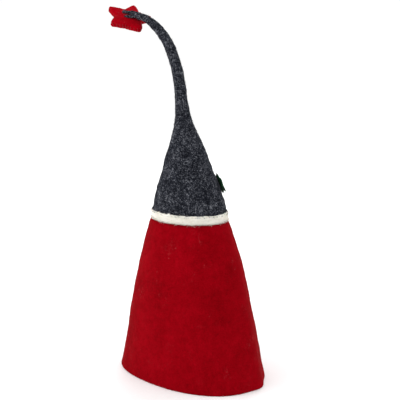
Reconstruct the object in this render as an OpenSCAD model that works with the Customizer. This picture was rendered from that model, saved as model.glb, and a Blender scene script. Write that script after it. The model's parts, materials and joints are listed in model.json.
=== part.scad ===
// Felt tomte: a weighted, stuffed figure in a flared dress, with a tall pointed hat whose wired
// tail arches over to the wearer's left and carries a padded star.
// Millimetres. +Z is up, the face looks along -Y, and the origin is the middle of the sole.

/* [Dress] */
// Height of the neck above the floor
neck_z = 165; // [150:1:180]
// Half of the dress's width at the hem
hem_half_w = 83; // [80:0.5:90]
// How far the hem's outline swells into three soft lobes, as a share of its radius
hem_lobe = 0.05; // [0:0.01:0.06]
// How far the hem stands out at the two side seams, as a share of its radius
hem_corner = 0.055; // [0:0.005:0.07]
// Radius of the rolled lower edge
hem_roll = 2; // [1.5:0.5:6]
// Thickness of the dress felt
dress_felt = 4; // [3:0.5:5]

/* [Hat] */
// Height of the hat from the neck to the root of its tail
hat_h = 120.6; // [110:0.2:130]
// Half of the hat's width just above the wool band
brim_half_w = 39.6; // [37:0.2:41]
// Thickness of the hat felt
hat_felt = 2.6; // [2:0.2:3]
// Height of the wool band
trim_h = 8; // [6:0.2:9]
// Thickness of the wool band
trim_t = 2.2; // [2:0.2:3.6]

/* [Tail] */
// How far the tail reaches sideways from its root
tail_reach = 75; // [70:1:80]
// How far the tail's end stands above its root
tail_rise = 87.5; // [80:0.5:92]
// Radius of the tail at its root
tail_r = 6; // [5:0.2:6.4]
// Radius of the wire
wire_r = 0.9; // [0.6:0.1:1]
// Largest bend at each joint, in degrees
bend_limit = 30; // [15:1:32]

/* [Star] */
// Radius of the star's points
star_r = 23.5; // [20:0.5:26]
// Thickness of the padded star
star_t = 6.6; // [5:0.2:8]
// Tilt of the star along the tail, in degrees
star_pitch = 23; // [10:1:24]
// Tilt of the star towards the back, in degrees
star_roll = 17; // [5:1:20]

/* [Face and sprig] */
// Radius of the nose
nose_r = 11; // [9:0.5:12]
// Length of the beard
beard_len = 108; // [90:1:120]
// Thickness of the beard
beard_t = 8; // [6:0.5:9]
// Length of a holly leaf, along the hat
leaf_len = 42; // [36:1:44]
// Width of a holly leaf
leaf_w = 19; // [16:1:22]
// Thickness of the leaf felt
leaf_felt = 2.4; // [2:0.2:3]
// Radius of a berry
berry_r = 4.6; // [4:0.2:5]

/* [Hidden] */

gap = 0.4;              // air between pieces that lie against each other
over = 1;               // how far a cutting solid runs past the face it opens
body_sides = 72;        // points round the dress and its lining
hat_sides = 48;         // points round the hat
tail_sides = 20;        // points round the tail
wire_sides = 10;        // points round the wire
thread_r = 0.5;         // radius of the sewing thread
thread_sides = 16;      // points round a stitch

// Share of the neck's height, share of the hem's half width, depth over width, sideways shift
dress_profile = [
    [0, 0.995, 0.72, -4], [0.15, 0.93, 0.725, -3], [0.3, 0.875, 0.725, -2.4],
    [0.45, 0.82, 0.72, -1], [0.73, 0.695, 0.735, 0], [1, 0.515, 0.76, 2]
];
// Share of the hat's height, share of the brim's half width, depth over width, sideways shift
hat_profile = [
    [0, 0.985, 0.795, 1.8], [0.075, 1.018, 0.79, 2], [0.22, 0.894, 0.836, 2.4], [0.42, 0.657, 0.96, 4.3],
    [0.575, 0.503, 0.99, 5.7], [0.725, 0.32, 1, 7.6], [0.83, 0.217, 1, 9.2], [1, 0.154, 1, 12]
];
profile_steps = 4;      // rows made between two rows of a profile

// Smooth curve through the rows of a list
function blend_rows(p, q, r, s, t) =
    0.5 * (2 * q + (r - p) * t + (2 * p - 5 * q + 4 * r - s) * t * t + (3 * q - p - 3 * r + s) * t * t * t);
function smooth(rows, steps) = [
    for (i = [0:len(rows) - 2], k = [0:steps - 1])
        blend_rows(rows[max(i - 1, 0)], rows[i], rows[i + 1], rows[min(i + 2, len(rows) - 1)], k / steps),
    rows[len(rows) - 1]
];
// Column c of a list of rows, as height and value pairs for lookup()
function column(rows, c) = [for (row = rows) [row[0], row[c]]];

dress_rows = [
    for (p = smooth(dress_profile, profile_steps))
        [p[0] * neck_z, p[1] * hem_half_w, p[1] * hem_half_w * p[2], p[3]]
];
dress_w = column(dress_rows, 1);
dress_d = column(dress_rows, 2);
dress_x = column(dress_rows, 3);
lobe_top = 140;         // height where the hem's lobes have faded out
lobe_turn = 12;         // where the first lobe points, in degrees
corner_top = 145;       // height where the hem's corners have faded out
corner_spread = 12;     // half width of a corner, in degrees

brim_z = neck_z + gap;
hat_rows = [
    for (p = smooth(hat_profile, profile_steps))
        [brim_z + p[0] * hat_h, p[1] * brim_half_w, p[1] * brim_half_w * p[2], p[3]]
];
hat_w = column(hat_rows, 1);
hat_d = column(hat_rows, 2);
hat_x = column(hat_rows, 3);

// How much the outline stands out near the two sides at a height and an angle
function corner_swell(z, angle) =
    hem_corner * max(0, 1 - z / corner_top) * exp(-pow(asin(abs(sin(angle))) / corner_spread, 2));
// Point of the dress's surface at a height and an angle, moved inwards by inset
function dress_point(z, angle, inset) =
    let (
        swell = 1 + corner_swell(z, angle)
            + hem_lobe * max(0, 1 - z / lobe_top) * cos(3 * (angle - lobe_turn)),
        a = lookup(z, dress_w) - inset,
        b = lookup(z, dress_d) - inset
    )
    [lookup(z, dress_x) + a * cos(angle) * swell, b * sin(angle) * swell, z];
function dress_ring(z, inset, sides = body_sides) =
    [for (j = [0:sides - 1]) dress_point(z, 360 * j / sides, inset)];

// Point of the hat's surface at a height and an angle, moved inwards by inset
function hat_point(z, angle, inset) = [
    lookup(z, hat_x) + (lookup(z, hat_w) - inset) * cos(angle),
    (lookup(z, hat_d) - inset) * sin(angle),
    z
];
function hat_ring(z, inset, sides = hat_sides) =
    [for (j = [0:sides - 1]) hat_point(z, 360 * j / sides, inset)];

// The tail's middle line: a curve in the XZ plane, from t = 0 at the root to t = 1 at the end
tail_root = [12, brim_z + hat_h];
tail_poles = [
    tail_root, tail_root + [4, 0.64 * tail_rise],
    tail_root + [0.4 * tail_reach, 0.96 * tail_rise], tail_root + [tail_reach, tail_rise]
];
function tail_at(t) =
    pow(1 - t, 3) * tail_poles[0] + 3 * pow(1 - t, 2) * t * tail_poles[1]
    + 3 * (1 - t) * t * t * tail_poles[2] + pow(t, 3) * tail_poles[3];
function tail_speed(t) =
    3 * pow(1 - t, 2) * (tail_poles[1] - tail_poles[0]) + 6 * (1 - t) * t * (tail_poles[2] - tail_poles[1])
    + 3 * t * t * (tail_poles[3] - tail_poles[2]);
// The t reached by going a distance along the tail from another t
function tail_step(t, distance) = t + distance / norm(tail_speed(t));
// Shares of the root's radius at t = 0, 1/4, 1/2, 3/4 and 1
tail_taper = [[0, 1], [0.25, 0.94], [0.5, 0.9], [0.75, 0.68], [1, 0.36]];
tail_radii = [for (p = smooth(tail_taper, profile_steps)) [p[0], p[1] * tail_r]];

bends = [0.08, 0.22, 0.42, 0.66];       // where the tail bends
felt_back = tail_r * tan(bend_limit / 2 + 1) + gap;     // room that the felt leaves at a bend
wire_back = wire_r * tan(bend_limit / 2 + 1) + gap;     // room that the wire leaves at a bend
wire_bore = wire_r + 0.3;

// Ring of points round a place on a curve in the XZ plane, square to the direction given
function cross_ring(place, direction, radius, sides) =
    let (d = direction / norm(direction))
    [
        for (j = [0:sides - 1])
            let (c = radius * cos(360 * j / sides), s = radius * sin(360 * j / sides))
            [place[0] + c * d[1], s, place[1] - c * d[0]]
    ];
// Rings along the tail between two values of t, a little past both ends when over is given
function tail_rings(t0, t1, radius, steps, sides, past = 0) = [
    for (k = [0:steps])
        let (
            t = t0 + (t1 - t0) * k / steps,
            out = k == 0 ? -past : k == steps ? past : 0,
            d = tail_speed(t) / norm(tail_speed(t)),
            r = radius > 0 ? radius : lookup(t, tail_radii)
        )
        cross_ring(tail_at(t) + d * out, d, r, sides)
];

// Closed solid through rings of points, each counter-clockwise seen from the next ring
module loft(rings) {
    sides = len(rings[0]);
    last = len(rings) - 1;
    polyhedron(
        points = [for (ring = rings) each ring],
        faces = [
            for (j = [0:sides / 2 - 2])
                let (m = sides - 1 - j, top = last * sides)
                each [
                    [j, j + 1, m - 1], [j, m - 1, m],
                    [top + j, top + m - 1, top + j + 1], [top + j, top + m, top + m - 1]
                ],
            for (i = [0:last - 1], j = [0:sides - 1])
                let (k = (j + 1) % sides, low = i * sides, high = (i + 1) * sides)
                each [[low + j, high + j, high + k], [low + j, high + k, low + k]]
        ]
    );
}

// ---- Dress, sole and what fills them ----

hem_heights = [for (a = [0:22.5:90]) hem_roll * (1 - cos(a))];
// How far the rolled edge draws in the outline at a height
function hem_inset(z) = z < hem_roll ? hem_roll - sqrt(hem_roll * hem_roll - pow(hem_roll - z, 2)) : 0;
wall_steps = 12;
wall_heights = [for (k = [1:wall_steps]) hem_roll + (neck_z - hem_roll) * k / wall_steps];

sole_t = 3;             // thickness of the felt sole
card_t = 1.6;           // thickness of the card
turn_under = 9;         // how far the hem's felt reaches in over the floor
neck_lip = 12;          // how far the neck's felt turns in under the hat
lining_z0 = sole_t + gap;
lining_z1 = neck_z - dress_felt;
lining_heights = [for (k = [0:wall_steps]) lining_z0 + (lining_z1 - lining_z0) * k / wall_steps];

module dress_shell() {
    color("crimson")
    difference() {
        loft([
            for (z = concat(hem_heights, wall_heights)) dress_ring(z, hem_inset(z))
        ]);
        loft([for (z = lining_heights) dress_ring(z, dress_felt)]);
        translate([0, 0, -over]) linear_extrude(sole_t + 2 * over)
            polygon([for (p = dress_ring(0, turn_under)) [p[0], p[1]]]);
        translate([0, 0, lining_z1 - over]) linear_extrude(dress_felt + 2 * over)
            polygon([for (p = dress_ring(neck_z, neck_lip)) [p[0], p[1]]]);
    }
}

module base_felt() {
    color("firebrick")
    linear_extrude(sole_t) polygon([for (p = dress_ring(0, turn_under + gap)) [p[0], p[1]]]);
}

card_z = lining_z0 + gap;
module base_card() {
    color("burlywood")
    translate([0, 0, card_z]) linear_extrude(card_t)
        polygon([for (p = dress_ring(card_z + card_t, dress_felt + gap)) [p[0], p[1]]]);
}

base_stitch_count = 40;
base_stitch_len = 4;
base_stitch_z = thread_r + 0.3;
module base_stitches() {
    color("darkred")
    for (k = [0:base_stitch_count - 1])
        let (
            angle = 360 * k / base_stitch_count,
            outer = dress_point(0, angle, turn_under - base_stitch_len / 2),
            inner = dress_point(0, angle, turn_under + base_stitch_len / 2),
            run = inner - outer
        )
        translate([outer[0], outer[1], base_stitch_z])
        rotate([0, 90, atan2(run[1], run[0])])
        cylinder(r = thread_r, h = norm(run), $fn = thread_sides);
}

bag_z0 = card_z + card_t + gap;
bag_h = 30;             // height of the filled bag
bag_z1 = bag_z0 + bag_h;
bag_round = 6;          // how far the bag's rim is drawn in
bag_skin = 1;
bag_sides = 36;
bag_arc = 8;
// Rings of a cushion that fills the dress between two heights, drawn in by inset
function cushion_rings(z0, z1, inset) = [
    for (k = [0:bag_arc])
        let (
            turn = -90 + 180 * k / bag_arc,
            z = (z0 + z1) / 2 + (z1 - z0) / 2 * sin(turn),
            bulge = bag_round * (1 - cos(turn)) + inset
        )
        dress_ring(z, dress_felt + gap + bulge, bag_sides)
];
module ballast_bag() {
    color("linen")
    difference() {
        loft(cushion_rings(bag_z0, bag_z1, 0));
        loft(cushion_rings(bag_z0 + bag_skin, bag_z1 - bag_skin, bag_skin));
    }
}
module ballast_fill() {
    color("dimgray")
    loft(cushion_rings(bag_z0 + bag_skin + gap, bag_z1 - bag_skin - gap, bag_skin + gap));
}

stuffing_steps = 9;
module body_stuffing() {
    z0 = bag_z1 + gap;
    z1 = lining_z1 - gap;
    color("whitesmoke")
    loft([
        for (k = [0:stuffing_steps])
            dress_ring(z0 + (z1 - z0) * k / stuffing_steps, dress_felt + gap, bag_sides)
    ]);
}

// ---- Hat, wool band and the wire inside ----

hat_top_t = tail_step(bends[0], -felt_back);
hat_top_steps = 3;
hat_lining_top = 0.9;   // share of the hat's height that its hollow reaches
module hat_cone() {
    color([0.20, 0.21, 0.24])
    difference() {
        loft(concat(
            [for (row = hat_rows) if (row[0] < tail_root[1]) hat_ring(row[0], 0)],
            tail_rings(0, hat_top_t, 0, hat_top_steps, hat_sides)
        ));
        loft(concat(
            [hat_ring(brim_z - over, hat_felt)],
            [for (row = hat_rows) if (row[0] < brim_z + hat_lining_top * hat_h) hat_ring(row[0], hat_felt)]
        ));
        loft(concat(
            wire_lead_rings(wire_bore),
            tail_rings(0, hat_top_t, wire_bore, hat_top_steps, wire_sides, over)
        ));
    }
}

// The wire below the tail's root follows the middle of the hat
wire_low_z = 214;
lead_steps = 6;
function hat_middle(z) = [lookup(z, hat_x), z];
function wire_lead_rings(radius) = [
    for (k = [0:lead_steps - 1])
        let (
            z = wire_low_z + (tail_root[1] - wire_low_z) * k / lead_steps,
            rise = hat_middle(z + 1) - hat_middle(z - 1)
        )
        cross_ring(hat_middle(z), rise, radius, wire_sides)
];
eye_r = 4;              // radius of the turned eye at the wire's lower end
eye_steps = 12;
eye_turn = 300;
function eye_rings() =
    let (top = hat_middle(wire_low_z), middle = top - [eye_r, 0])
    [
        for (k = [0:eye_steps - 1])
            let (a = -eye_turn * (1 - k / eye_steps))
            cross_ring(middle + eye_r * [cos(a), sin(a)], [-sin(a), cos(a)], wire_r, wire_sides)
    ];
module hat_wire() {
    color("silver")
    loft(concat(
        eye_rings(),
        wire_lead_rings(wire_r),
        tail_rings(0, tail_step(bends[0], -wire_back), wire_r, hat_top_steps, wire_sides)
    ));
}

hat_fill_steps = 9;
hat_fill_top = 0.86;    // share of the hat's height that its stuffing reaches
module hat_stuffing() {
    z0 = brim_z + 1;
    z1 = brim_z + hat_fill_top * hat_h;
    eye = hat_middle(wire_low_z) - [eye_r, 0];
    color("whitesmoke")
    difference() {
        loft([
            for (k = [0:hat_fill_steps])
                hat_ring(z0 + (z1 - z0) * k / hat_fill_steps, hat_felt + gap, bag_sides)
        ]);
        loft(concat(wire_lead_rings(wire_bore), [cross_ring(tail_root, [0, 1], wire_bore, wire_sides)]));
        translate([eye[0], wire_bore, eye[1]]) rotate([90, 0, 0])
            cylinder(r = eye_r + wire_bore, h = 2 * wire_bore, $fn = 32);
    }
}

trim_sides = 12;
module brim_trim() {
    middle_z = brim_z + trim_h / 2;
    color("ivory")
    difference() {
        loft([
            for (k = [0:trim_sides])
                let (turn = -90 + 180 * k / trim_sides)
                hat_ring(middle_z + trim_h / 2 * sin(turn), -trim_t * (0.35 + 0.65 * cos(turn)))
        ]);
        loft([
            for (z = [brim_z - over, brim_z, middle_z, brim_z + trim_h, brim_z + trim_h + over])
                hat_ring(z, -gap)
        ]);
    }
}

seam_stitch_count = 24;
seam_stitch_len = 6;
module hat_seam_stitches() {
    color("dimgray")
    for (k = [0:seam_stitch_count - 1])
        let (p = hat_point(brim_z, 360 * k / seam_stitch_count, hat_felt / 2))
        translate([p[0], p[1], neck_z - seam_stitch_len / 2])
        cylinder(r = thread_r, h = seam_stitch_len, $fn = thread_sides);
}

// ---- Tail ----

tail_steps = 6;
module tail_felt(t0, t1) {
    color([0.20, 0.21, 0.24])
    difference() {
        loft(tail_rings(t0, t1, 0, tail_steps, tail_sides));
        loft(tail_rings(t0, t1, wire_bore, tail_steps, wire_sides, over));
    }
}
module tail_link(first) {
    tail_felt(tail_step(bends[first], felt_back), tail_step(bends[first + 1], -felt_back));
}
module wire_link(first) {
    color("silver")
    loft(tail_rings(
        tail_step(bends[first], wire_back), tail_step(bends[first + 1], -wire_back),
        wire_r, tail_steps, wire_sides
    ));
}
module tail_felt_root() { tail_link(0); }
module tail_felt_lower() { tail_link(1); }
module tail_felt_middle() { tail_link(2); }
module tail_wire_root() { wire_link(0); }
module tail_wire_lower() { wire_link(1); }
module tail_wire_middle() { wire_link(2); }

wire_end_t = 0.88;      // where along the tail the wire ends, inside the felt
tip_steps = 8;
// The last length of felt closes over the end of the wire
module tail_felt_tip() {
    t0 = tail_step(bends[3], felt_back);
    color([0.20, 0.21, 0.24])
    difference() {
        loft(concat(
            tail_rings(t0, 0.98, 0, tip_steps, tail_sides),
            [
                cross_ring(tail_at(0.995), tail_speed(1), 0.8 * lookup(1, tail_radii), tail_sides),
                cross_ring(tail_at(1), tail_speed(1), 0.4 * lookup(1, tail_radii), tail_sides)
            ]
        ));
        loft(tail_rings(t0, wire_end_t, wire_bore, tip_steps, wire_sides, over));
    }
}
module tail_wire_tip() {
    color("silver")
    loft(tail_rings(tail_step(bends[3], wire_back), wire_end_t, wire_r, tip_steps, wire_sides));
}

// ---- Star ----

star_t_place = 0.92;    // where along the tail the star's middle lies
star_phase = 12;        // where the first point lies in the star's plane, in degrees
// Each point's direction in degrees, its length, the depth of the notch after it and how blunt it is,
// the last three as shares; the star is cut by hand, so its points differ
star_cut = [
    [-6, 1.1, 0.56, 0.85], [72, 1, 0.77, 1], [150, 1.04, 0.6, 1.35], [216, 1, 0.6, 1], [288, 1, 0.6, 1]
];
point_round = 2.6;      // radius of a rounded point
star_skin = 1.6;        // thickness of the star's felt
star_clear = 1.6;       // room between the tail and the middle of the star, which is tilted to it
star_drop = lookup(star_t_place, tail_radii) + star_clear + star_t / 2;
star_middle = [tail_at(star_t_place)[0], 0, tail_at(star_t_place)[1]];

// Places a child drawn about the star's middle, face up, into the star's own plane
module on_star() {
    translate(star_middle) rotate([0, -star_pitch, 0]) rotate([-star_roll, 0, 0])
        translate([0, 0, -star_drop]) rotate([0, 0, star_phase]) children();
}
point_steps = 4;
point_turn = 62;        // how far a point's rounding turns to each side, in degrees
// Outline of the star with rounded points
function star_outline(radius, rounding) = [
    for (k = [0:4])
        let (
            cut = star_cut[k],
            after = star_cut[(k + 1) % 5][0] + (k == 4 ? 360 : 0),
            angle = cut[0],
            blunt = rounding * cut[3],
            middle = radius * cut[1] - blunt,
            notch = (angle + after) / 2
        )
        each [
            for (i = [-point_steps:point_steps])
                let (a = angle + point_turn * i / point_steps)
                [middle * cos(angle) + blunt * cos(a), middle * sin(angle) + blunt * sin(a)],
            cut[2] * radius * [cos(notch), sin(notch)]
        ]
];
module star_half(rounding) {
    difference() {
        linear_extrude(star_t / 2 - gap / 2) polygon(star_outline(star_r, rounding));
        translate([0, 0, -over]) linear_extrude(star_t / 2 - gap / 2 - star_skin + over)
            polygon(star_outline(star_r - 2 * star_skin, rounding / 2));
    }
}
module star_upper() {
    color("crimson") on_star() translate([0, 0, gap / 2]) star_half(point_round);
}
module star_under() {
    color("crimson") on_star() mirror([0, 0, 1]) translate([0, 0, gap / 2]) star_half(point_round);
}
module star_filling() {
    depth = star_t - 2 * star_skin - 2 * gap;
    color("whitesmoke") on_star() translate([0, 0, -depth / 2])
        linear_extrude(depth) polygon(star_outline(star_r - 2 * star_skin - 2 * gap, point_round / 2));
}
star_stitch_places = [-8, 0, 7];        // along the tail, from the star's middle
star_stitch_len = 5;
module star_stitches() {
    color("red")
    for (x = star_stitch_places)
        on_star() rotate([0, 0, -star_phase])
        translate([x, 0, star_t / 2 - star_skin / 2])
        cylinder(r = thread_r, h = star_stitch_len, $fn = thread_sides);
}

// ---- Holly sprig ----

sprig_z = 198;          // height of the sprig's middle
leaf_start = 3;         // angle between the sprig's middle and a leaf's inner end, in degrees
leaf_steps = 24;
leaf_lift = 2.2;        // how far a leaf's tip stands off the hat
leaf_scallops = 3;
leaf_rise = 3;          // how far a leaf climbs the hat from its inner end to its tip
// Half width of a holly leaf at a share of its length
function leaf_half(s) =
    leaf_w / 2 * (0.12 + 0.88 * pow(sin(180 * min(max(s, 0), 1)), 0.6))
    * (0.86 + 0.14 * cos(360 * (leaf_scallops * s - 0.5)));
// Slice of a leaf that follows the hat, side -1 for the wearer's right and 1 for the left
function leaf_slice(s, side) =
    let (
        radius = lookup(sprig_z, hat_w),
        angle = -90 + side * (leaf_start + s * leaf_len / radius * 180 / PI),
        rise = leaf_rise * s,
        half = leaf_half(s),
        off = gap + leaf_lift * s * s,
        low = sprig_z + rise - half,
        high = sprig_z + rise + half,
        slice = [
            hat_point(low, angle, -off), hat_point(low, angle, -off - leaf_felt),
            hat_point(high, angle, -off - leaf_felt), hat_point(high, angle, -off)
        ]
    )
    side < 0 ? slice : [for (j = [3:-1:0]) slice[j]];
module holly_leaf(side) {
    color("darkgreen") loft([for (k = [0:leaf_steps]) leaf_slice(k / leaf_steps, side)]);
}
module holly_leaf_right() { holly_leaf(-1); }
module holly_leaf_left() { holly_leaf(1); }

berry_spread = berry_r / cos(30) + 0.3;
berry_clear = 0.2;      // room between a berry and the leaves behind it
function berry_place(k) =
    let (
        z = sprig_z + berry_spread * sin(90 + 120 * k),
        x = berry_spread * cos(90 + 120 * k)
    )
    [
        lookup(sprig_z, hat_x) + x,
        -lookup(z, hat_d) - leaf_felt - 2 * gap - berry_r - berry_clear,
        z
    ];
module berries() {
    color("red") for (k = [0:2]) translate(berry_place(k)) sphere(r = berry_r, $fn = 32);
}
sprig_stitch_len = 8;
module sprig_stitches() {
    color("darkgreen")
    for (k = [0:2])
        translate(berry_place(k)) rotate([-90, 0, 0])
        cylinder(r = thread_r, h = berry_r + sprig_stitch_len, $fn = thread_sides);
}

// ---- Nose and beard ----

nose_z = neck_z - 9;
nose_back = 2.2;        // room between the nose and the dress, for the wool behind it
nose_place = [lookup(nose_z, dress_x), -lookup(nose_z, dress_d) - nose_r - nose_back, nose_z];
nose_sides = 48;
module nose() {
    color("bisque") translate(nose_place) sphere(r = nose_r, $fn = nose_sides);
}
module nose_thread() {
    color("bisque") translate(nose_place) rotate([-90, 0, 0])
        cylinder(r = thread_r, h = nose_r + nose_back + dress_felt - 1, $fn = thread_sides);
}

beard_top = neck_z - 1.5;
beard_rows = 14;
beard_points = 12;
beard_wide = 40;        // half of the angle that the beard covers at its top, in degrees
// Thickness of the beard at a share of the way down: thin behind the nose and at the end
function beard_depth(s) = beard_t * min(0.3 + 2.5 * s, 1 - 0.45 * s);
// Slice of the beard at a share of the way down
function beard_slice(s) =
    let (
        z = beard_top - beard_len * s,
        spread = beard_wide * sqrt(max(0, 1 - 0.96 * s)),
        angles = [for (j = [0:beard_points]) -90 - spread + 2 * spread * j / beard_points],
        face = [
            for (angle = angles)
                let (across = (angle + 90) / spread)
                dress_point(z, angle, -gap - beard_depth(s) * (1 - 0.8 * across * across))
        ],
        back = [for (j = [beard_points:-1:0]) dress_point(z, angles[j], -gap)]
    )
    concat(face, back);
// The nose is pressed into the wool, which keeps its hollow
module beard() {
    color("ivory")
    difference() {
        loft([for (k = [beard_rows:-1:0]) beard_slice(k / beard_rows)]);
        translate(nose_place) sphere(r = nose_r + gap, $fn = nose_sides);
    }
}
beard_stitch_angles = [-34, -24, 24, 34];
module beard_stitches() {
    stitch_z = beard_top - 5;
    color("ivory")
    for (turn = beard_stitch_angles)
        let (
            inner = dress_point(stitch_z, -90 + turn, dress_felt - 1),
            outer = dress_point(stitch_z, -90 + turn, -gap - 1.6),
            run = inner - outer
        )
        translate(outer) rotate([0, 90, atan2(run[1], run[0])])
        cylinder(r = thread_r, h = norm(run), $fn = thread_sides);
}

dress_shell();
base_felt();
base_card();
base_stitches();
ballast_bag();
ballast_fill();
body_stuffing();
hat_cone();
hat_stuffing();
brim_trim();
hat_seam_stitches();
hat_wire();
tail_wire_root();
tail_wire_lower();
tail_wire_middle();
tail_wire_tip();
tail_felt_root();
tail_felt_lower();
tail_felt_middle();
tail_felt_tip();
star_upper();
star_under();
star_filling();
star_stitches();
holly_leaf_right();
holly_leaf_left();
berries();
sprig_stitches();
nose();
nose_thread();
beard();
beard_stitches();
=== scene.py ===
import json
import math

import bpy
import numpy as np
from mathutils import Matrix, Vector, noise
from mathutils.bvhtree import BVHTree


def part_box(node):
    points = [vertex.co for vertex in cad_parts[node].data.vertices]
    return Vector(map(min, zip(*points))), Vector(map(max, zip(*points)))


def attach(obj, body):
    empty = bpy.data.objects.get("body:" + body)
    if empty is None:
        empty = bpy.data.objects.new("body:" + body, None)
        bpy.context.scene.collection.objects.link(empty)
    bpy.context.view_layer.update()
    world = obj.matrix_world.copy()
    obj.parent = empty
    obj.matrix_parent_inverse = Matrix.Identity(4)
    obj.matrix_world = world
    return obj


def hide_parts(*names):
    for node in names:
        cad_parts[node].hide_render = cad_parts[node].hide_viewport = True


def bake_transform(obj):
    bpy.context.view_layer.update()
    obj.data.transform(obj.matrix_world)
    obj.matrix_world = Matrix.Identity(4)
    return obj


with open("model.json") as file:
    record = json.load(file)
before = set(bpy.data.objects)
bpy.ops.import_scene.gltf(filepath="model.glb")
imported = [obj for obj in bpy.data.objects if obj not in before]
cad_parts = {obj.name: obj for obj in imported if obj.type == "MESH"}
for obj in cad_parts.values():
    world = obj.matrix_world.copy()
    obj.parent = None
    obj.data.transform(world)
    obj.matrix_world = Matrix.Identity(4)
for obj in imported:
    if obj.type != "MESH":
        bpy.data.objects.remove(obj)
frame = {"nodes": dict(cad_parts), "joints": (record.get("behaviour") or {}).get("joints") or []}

MM = 0.001
SCENE = bpy.context.scene
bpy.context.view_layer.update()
NODES = frame["nodes"]
JOINTS = {j["name"]: j for j in frame["joints"]}
rng = np.random.default_rng(24)


# ---- materials

def rgb(r, g, b):
    """sRGB numbers from 0 to 255 as a linear colour."""
    return tuple(
        (c / 255 / 12.92) if c / 255 <= 0.04045 else ((c / 255 + 0.055) / 1.055) ** 2.4
        for c in (r, g, b)
    ) + (1.0,)


class Finish:
    """A procedural material: node helpers round one Principled shader."""

    def __init__(self, name, roughness=0.9, specular=0.2, attribute=None, **sockets):
        self.material = bpy.data.materials.new(name)
        self.material.use_nodes = True
        self.tree = self.material.node_tree
        self.shader = self.tree.nodes["Principled BSDF"]
        self.fill(self.shader, Roughness=roughness, Specular_IOR_Level=specular, **sockets)
        self.place = self.coordinates(attribute)

    def new(self, kind, **settings):
        node = self.tree.nodes.new(kind)
        for label, value in settings.items():
            setattr(node, label, value)
        return node

    def put(self, socket, value):
        if isinstance(value, bpy.types.NodeSocket):
            self.tree.links.new(value, socket)
        else:
            socket.default_value = value

    def fill(self, node, **inputs):
        """Sets named inputs of a node, with _ for a space, each to a value or to a socket."""
        for label, value in inputs.items():
            self.put(node.inputs[label.replace("_", " ")], value)
        return node

    def coordinates(self, attribute):
        """The resting place of a point, in millimetres."""
        if attribute:
            source = self.new("ShaderNodeAttribute", attribute_name=attribute).outputs["Vector"]
        else:
            source = self.new("ShaderNodeTexCoord").outputs["Object"]
        scale = self.new("ShaderNodeVectorMath", operation="SCALE")
        self.put(scale.inputs[0], source)
        return self.fill(scale, Scale=1 / MM).outputs[0]

    def stretched(self, factors, turn=(0, 0, 0), shift=(0, 0, 0)):
        node = self.new("ShaderNodeMapping")
        return self.fill(node, Vector=self.place, Location=shift, Rotation=turn, Scale=factors).outputs[0]

    def noise(self, size, detail=2.0, rough=0.5, distortion=0.0, vector=None):
        """Noise from 0 to 1 with features about this many millimetres across."""
        node = self.new("ShaderNodeTexNoise")
        return self.fill(node, Vector=vector or self.place, Scale=1 / size, Detail=detail,
                         Roughness=rough, Distortion=distortion).outputs[0]

    def cells(self, size, vector=None):
        """Distance to the nearest of scattered points about this many millimetres apart."""
        node = self.new("ShaderNodeTexVoronoi", feature="F1")
        return self.fill(node, Vector=vector or self.place, Scale=1 / size).outputs["Distance"]

    def math(self, operation, a, b=0.0):
        node = self.new("ShaderNodeMath", operation=operation)
        self.put(node.inputs[0], a)
        self.put(node.inputs[1], b)
        return node.outputs[0]

    def span(self, value, low, high, to_low=0.0, to_high=1.0):
        node = self.new("ShaderNodeMapRange", clamp=True)
        return self.fill(node, Value=value, From_Min=low, From_Max=high, To_Min=to_low,
                         To_Max=to_high).outputs[0]

    def hairs(self, size, width, distortion=1.5, vector=None, detail=1.0):
        """Thin curling lines, 1 on a line and 0 away from it."""
        n = self.noise(size, detail, 0.5, distortion, vector)
        return self.span(self.math("ABSOLUTE", self.math("SUBTRACT", n, 0.5)), 0.0, width, 1.0, 0.0)

    def total(self, *terms):
        """A sum of (share, value) pairs."""
        out = None
        for share, value in terms:
            part = self.math("MULTIPLY", value, share)
            out = part if out is None else self.math("ADD", out, part)
        return out

    def ramp(self, value, *stops):
        node = self.new("ShaderNodeValToRGB")
        self.put(node.inputs[0], value)
        ramp = node.color_ramp
        for k, (at, colour) in enumerate(stops):
            point = ramp.elements[k] if k < 2 else ramp.elements.new(at)
            point.position, point.color = at, colour
        return node.outputs[0]

    def mix(self, share, a, b):
        node = self.new("ShaderNodeMix", data_type="RGBA")
        self.put(node.inputs[0], share)
        self.put(node.inputs[6], a)
        self.put(node.inputs[7], b)
        return node.outputs[2]

    def finish(self, colour, height=None, depth=0.0):
        """Ends the material with its colour and a bump this many millimetres deep."""
        self.fill(self.shader, Base_Color=colour)
        if height:
            bump = self.fill(self.new("ShaderNodeBump"), Strength=1.0, Distance=depth * MM, Height=height)
            self.fill(self.shader, Normal=bump.outputs[0])
        return self.material


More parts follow.
